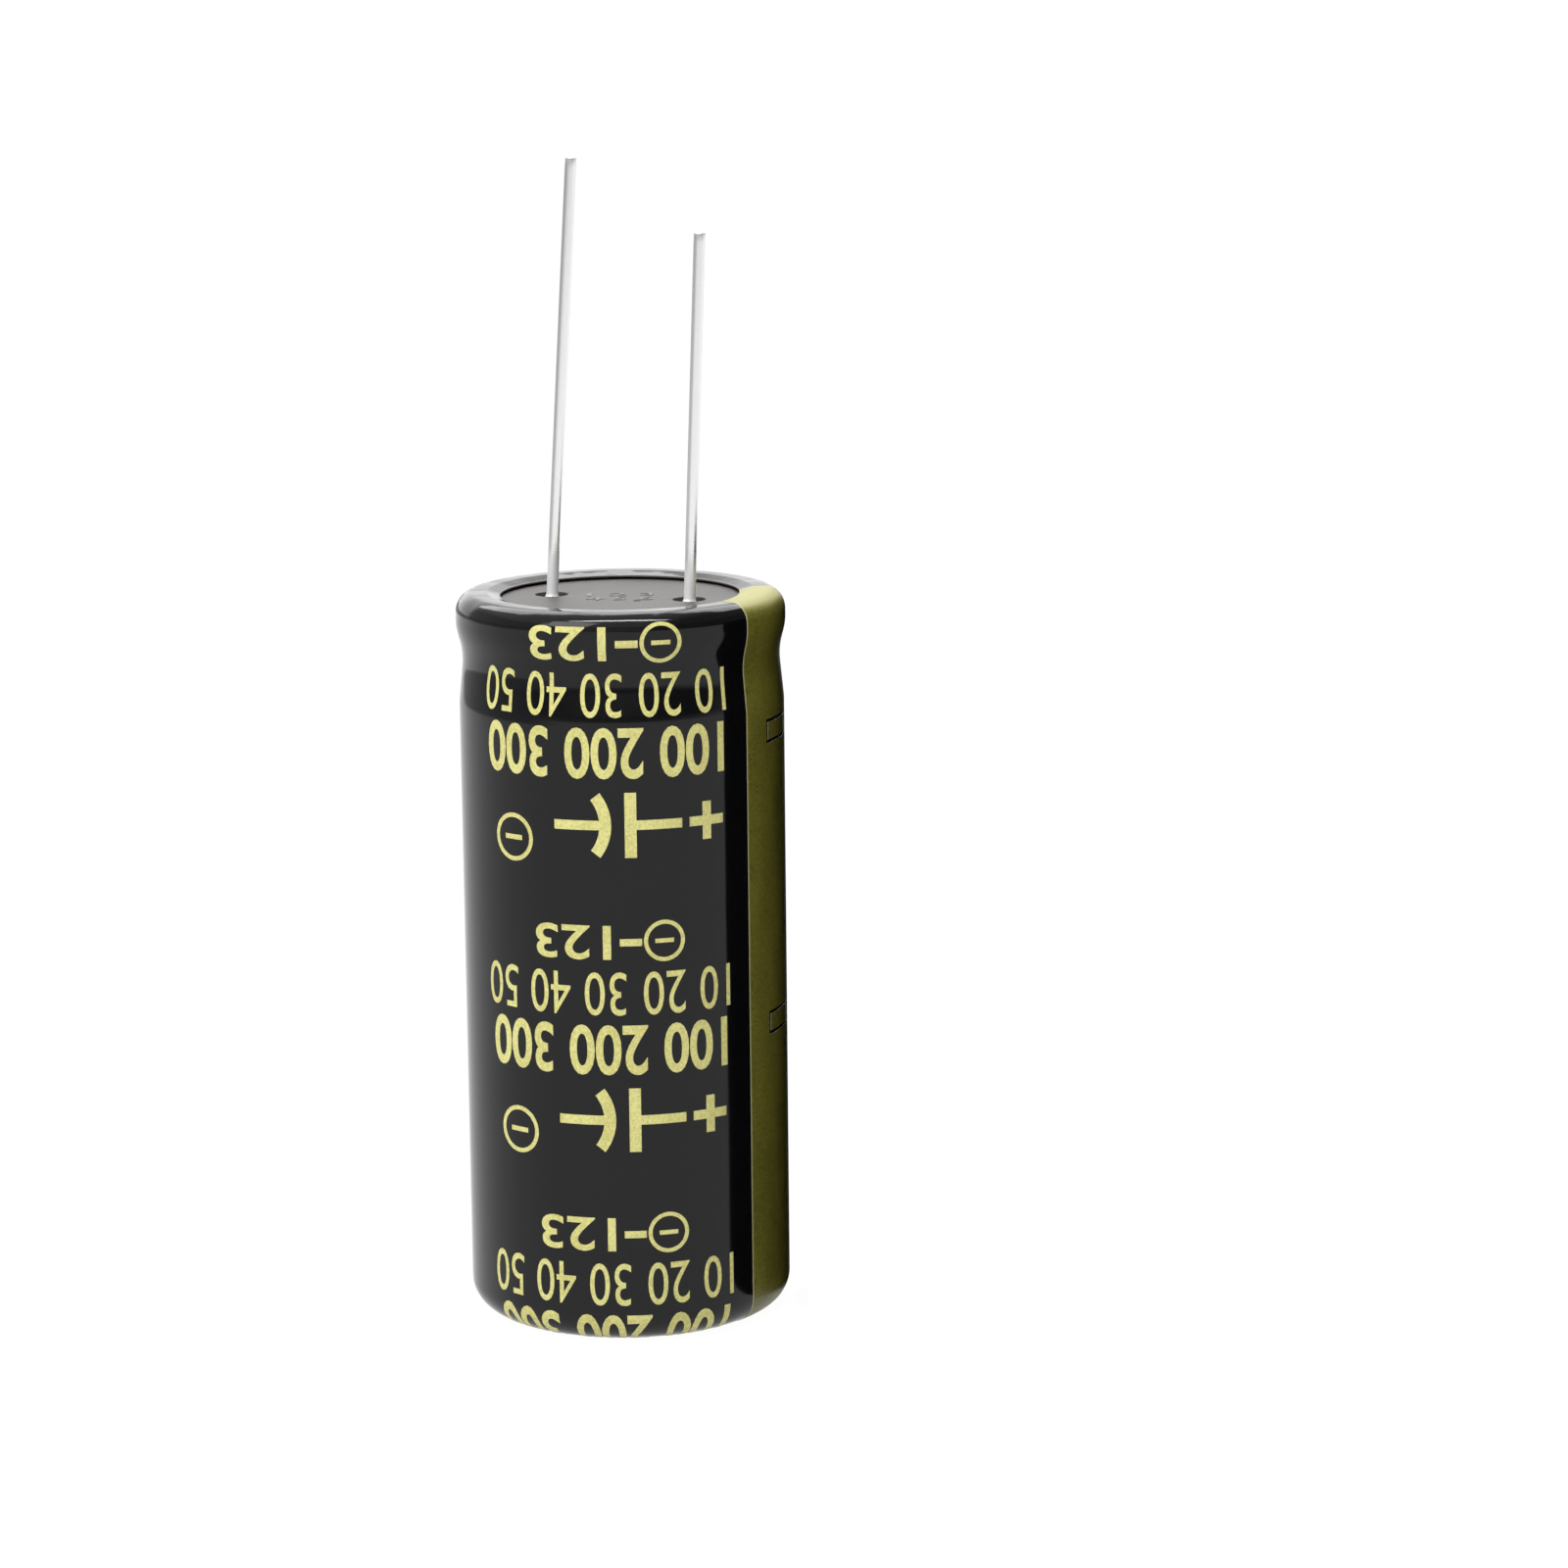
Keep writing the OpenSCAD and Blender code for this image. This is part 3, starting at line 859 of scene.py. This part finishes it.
# Seal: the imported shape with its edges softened, and small moulded figures raised between the leads
SEAL_EDGE = 0.05
RELIEF_ROWS = {"1 2 3": 0.95, "4 5 6": -0.95}
RELIEF_W = 4.6
RELIEF_H = 1.3
bm = bmesh.new()
bm.from_mesh(nodes["rubber_seal"].data)
bmesh.ops.remove_doubles(bm, verts=bm.verts, dist=0.0005 * MM)
bmesh.ops.dissolve_limit(bm, angle_limit=math.radians(0.5), verts=bm.verts, edges=bm.edges)
crisp = [
    edge for edge in bm.edges
    if all(abs(v.co.z - SEAL_TOP * MM) < 0.001 * MM for v in edge.verts)
    and edge.calc_face_angle(0) > math.radians(40)
]
bmesh.ops.bevel(
    bm, geom=crisp, offset=SEAL_EDGE * MM, segments=2, profile=0.5, affect="EDGES", clamp_overlap=True,
)
seal = mesh_object("moulded_seal", bm)
seal.data.materials.append(finishes["rubber"])
bm = bmesh.new()
for body, middle in RELIEF_ROWS.items():
    row = figures(body, 0, middle, RELIEF_W, RELIEF_H, 0.01, 4 * RELIEF)
    bm.from_mesh(row)
    bpy.data.meshes.remove(row)
for vertex in bm.verts:
    vertex.co = Matrix.Rotation(math.radians(LEAN_AZIMUTH), 3, "Z") @ vertex.co
    vertex.co = (vertex.co + Vector((0, 0, SEAL_TOP - RELIEF))) * MM
bmesh.ops.remove_doubles(bm, verts=bm.verts, dist=0.001 * MM)
bmesh.ops.recalc_face_normals(bm, faces=bm.faces)
relief = mesh_object("relief", bm)
join = seal.modifiers.new("relief", "BOOLEAN")
join.operation = "UNION"
join.solver = "MANIFOLD"
join.object = relief
settled(seal, sharp=20)
drop(relief)
rides(seal, "seal_rubber", "rubber_seal")

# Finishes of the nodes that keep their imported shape
KEPT_NODES = {
    "can": "can",
    "terminal_positive": "terminal",
    "terminal_negative": "terminal",
    "wound_element": "winding",
    "winding_tape": "tape",
}
for node, finish in KEPT_NODES.items():
    slots = nodes[node].data.materials
    slots.clear()
    slots.append(finishes[finish])

# Camera. The roll is in radians, the other angles are in degrees.
CAMERA_AIM = Vector((10.651, 3.256, 36.858)) * MM
CAMERA_DISTANCE = 320.9
CAMERA_AZIMUTH = -73
CAMERA_ELEVATION = 10.967
CAMERA_ROLL = -0.0099
CAMERA_LENS = 106.29
CAMERA_SENSOR = 36


def toward(azimuth, elevation=0.0):
    """The direction with these angles in degrees."""
    a, e = math.radians(azimuth), math.radians(elevation)
    return Vector((math.cos(e) * math.cos(a), math.cos(e) * math.sin(a), math.sin(e)))


def looking(aim, out, distance, roll=0.0):
    """The place and turn of what looks at the aim from a distance along a direction."""
    turn = out.to_track_quat("Z", "Y").to_matrix() @ Matrix.Rotation(roll, 3, "Z")
    return Matrix.Translation(aim + out * distance) @ turn.to_4x4()


camera_data = bpy.data.cameras.new("camera")
camera_data.lens = CAMERA_LENS
camera_data.sensor_width = CAMERA_SENSOR
camera_data.clip_start = 0.01
camera = shown(bpy.data.objects.new("camera", camera_data))
back = toward(CAMERA_AZIMUTH, CAMERA_ELEVATION)
camera.matrix_world = looking(CAMERA_AIM, back, CAMERA_DISTANCE * MM, CAMERA_ROLL)
bpy.context.scene.camera = camera

# Floor
FLOOR_REACH = 4000
FLOOR_DROP = 0.02
bm = bmesh.new()
bmesh.ops.create_grid(bm, x_segments=1, y_segments=1, size=FLOOR_REACH * MM)
floor = mesh_object("floor", bm)
floor.location.z = -FLOOR_DROP * MM


def seen_directly(tree):
    """1 for rays that the camera, a mirror or glass sends, 0 for the light that falls on things."""
    rays = tree.node("ShaderNodeLightPath")
    seen = tree.maths("MAXIMUM", rays["Is Camera Ray"], rays["Is Glossy Ray"])
    return tree.maths("MAXIMUM", seen, rays["Is Transmission Ray"])


# The floor is a pale sheet, seen as plain white that keeps a faint part of the shadow close to the part.
# Past its edge a mirror sees the dimmer room. The edge is nearer on the left.
FLOOR_COLOUR = (0.8, 0.8, 0.8, 1)
FLOOR_WHITE = 1.04
SHADOW_KEPT = 0.06
SHADOW_NEAR = 11.5
SHADOW_FAR = 15
SHEET_REACH = 1600
SHEET_REACH_LEFT = 345
SHEET_EDGE = 12
PAST_SHEET = 0.42
CAMERA_SIDE = toward(CAMERA_AZIMUTH)
LEFT_SIDE = toward(CAMERA_AZIMUTH - 90)
floor_finish = Finish("pale_floor")
across, deep, _ = floor_finish.separate(floor_finish.place)
distance = floor_finish.from_axis()
toward_camera = (across * CAMERA_SIDE.x + deep * CAMERA_SIDE.y) / distance
toward_left = (across * LEFT_SIDE.x + deep * LEFT_SIDE.y) / distance
left = floor_finish.ramp(toward_camera, 0.85, 0.35) * floor_finish.ramp(toward_left, -0.8, 0.15)
past = floor_finish.ramp(distance, SHEET_REACH - SHEET_EDGE, SHEET_REACH + SHEET_EDGE)
past_left = floor_finish.ramp(distance, SHEET_REACH_LEFT - SHEET_EDGE, SHEET_REACH_LEFT + SHEET_EDGE)
to_camera = floor_finish.node("ShaderNodeLightPath")["Is Camera Ray"]
past = (past + left * (past_left - past)) * (1 - to_camera)
matt = floor_finish.node("ShaderNodeBsdfDiffuse", {}, {"Color": FLOOR_COLOUR})["BSDF"]
seen = floor_finish.mix(past, (1, 1, 1), (PAST_SHEET, PAST_SHEET, PAST_SHEET))
glow = floor_finish.node("ShaderNodeEmission", {}, {"Color": seen, "Strength": FLOOR_WHITE})["Emission"]
shadow = floor_finish.ramp(distance, SHADOW_FAR, SHADOW_NEAR, 0, SHADOW_KEPT)
white = seen_directly(floor_finish) * (1 - shadow)
surface = floor_finish.node("ShaderNodeMixShader", {}, {0: white, 1: matt, 2: glow})
floor_finish.node("ShaderNodeOutputMaterial", {}, {"Surface": surface["Shader"]})
floor.data.materials.append(floor_finish.material)

# World: a pale surround with a bright backdrop behind the part and a dimmer room on the other sides.
# Its ramps run over the parts of a direction: up, toward the camera and to the right.
SURROUND = 0.85
ROOM = 0.5
BACKDROP = 1.5
HORIZON = 0.05
RIGHT_DIMMED = 0.75
world = bpy.data.worlds.new("studio")
bpy.context.scene.world = world
world.use_nodes = True
sky = Tree(world.node_tree)
world.node_tree.nodes.clear()
direction = sky.node("ShaderNodeTexCoord")["Generated"]
across, deep, high = sky.separate(direction)
toward_camera = across * CAMERA_SIDE.x + deep * CAMERA_SIDE.y
low = sky.ramp(high, 0.62, 0.5)
front = sky.ramp(toward_camera, -0.75, -0.55)
right = sky.ramp(across * -LEFT_SIDE.x + deep * -LEFT_SIDE.y, 0.1, 0.6)
room = sky.ramp(high, 0.012, 0.03, HORIZON, ROOM)
level = SURROUND + (BACKDROP - SURROUND) * low
level = level + (SURROUND - level) * front
level = level + (room - level) * front * low
level = level * (1 - right * RIGHT_DIMMED)
level = level + sky.node("ShaderNodeLightPath")["Is Camera Ray"] * (1 - level)
background = sky.node("ShaderNodeBackground", {}, {"Color": (1, 1, 1, 1), "Strength": level})["Background"]
sky.node("ShaderNodeOutputWorld", {}, {"Surface": background})

# A round dark flag beside the part on the right, unseen by the camera, gives its gloss a dark edge there
FLAG_R = 11.3
FLAG_AZIMUTH = 16
FLAG_DISTANCE = 22.9
FLAG_HEIGHT = 50
FLAG_MIDDLE = 25.6
FLAG_COVER = 0.96
bm = bmesh.new()
bmesh.ops.create_cone(
    bm, cap_ends=True, segments=96, radius1=FLAG_R * MM, radius2=FLAG_R * MM, depth=FLAG_HEIGHT * MM,
)
flag = mesh_object("flag", bm)
flag.location = (toward(FLAG_AZIMUTH) * FLAG_DISTANCE + Vector((0, 0, FLAG_MIDDLE))) * MM
flag.visible_camera = False
cloth = Finish("black_cloth")
clear = cloth.node("ShaderNodeBsdfTransparent")["BSDF"]
dark = cloth.node("ShaderNodeBsdfDiffuse", {}, {"Color": (0.004, 0.004, 0.004, 1)})["BSDF"]
mirrored = cloth.node("ShaderNodeLightPath")["Is Glossy Ray"]
cover = FLAG_COVER + mirrored * (1 - FLAG_COVER)
surface = cloth.node("ShaderNodeMixShader", {}, {0: cover, 1: clear, 2: dark})["Shader"]
cloth.node("ShaderNodeOutputMaterial", {}, {"Surface": surface})
flag.data.materials.append(cloth.material)

# Lamps
LAMP_AIM = Vector((0, 0, 30)) * MM


def softbox(name, azimuth, elevation, distance, size, power, shape="RECTANGLE"):
    """A soft lamp that looks at the part. Its distance and size are in metres, its power is in watts."""
    data = bpy.data.lights.new(name, "AREA")
    data.shape = shape
    data.size, data.size_y = size
    data.energy = power
    lamp = shown(bpy.data.objects.new(name, data))
    lamp.matrix_world = looking(LAMP_AIM, toward(azimuth, elevation), distance)


softbox("key", -115, 45, 0.6, (0.30, 0.30), 1.3)
softbox("overhead", -73, 74, 0.5, (0.42, 0.055), 1.7, "ELLIPSE")
softbox("backlight", 107, 50, 0.5, (0.6, 0.25), 1.9)

bpy.context.scene.view_settings.view_transform = "Standard"
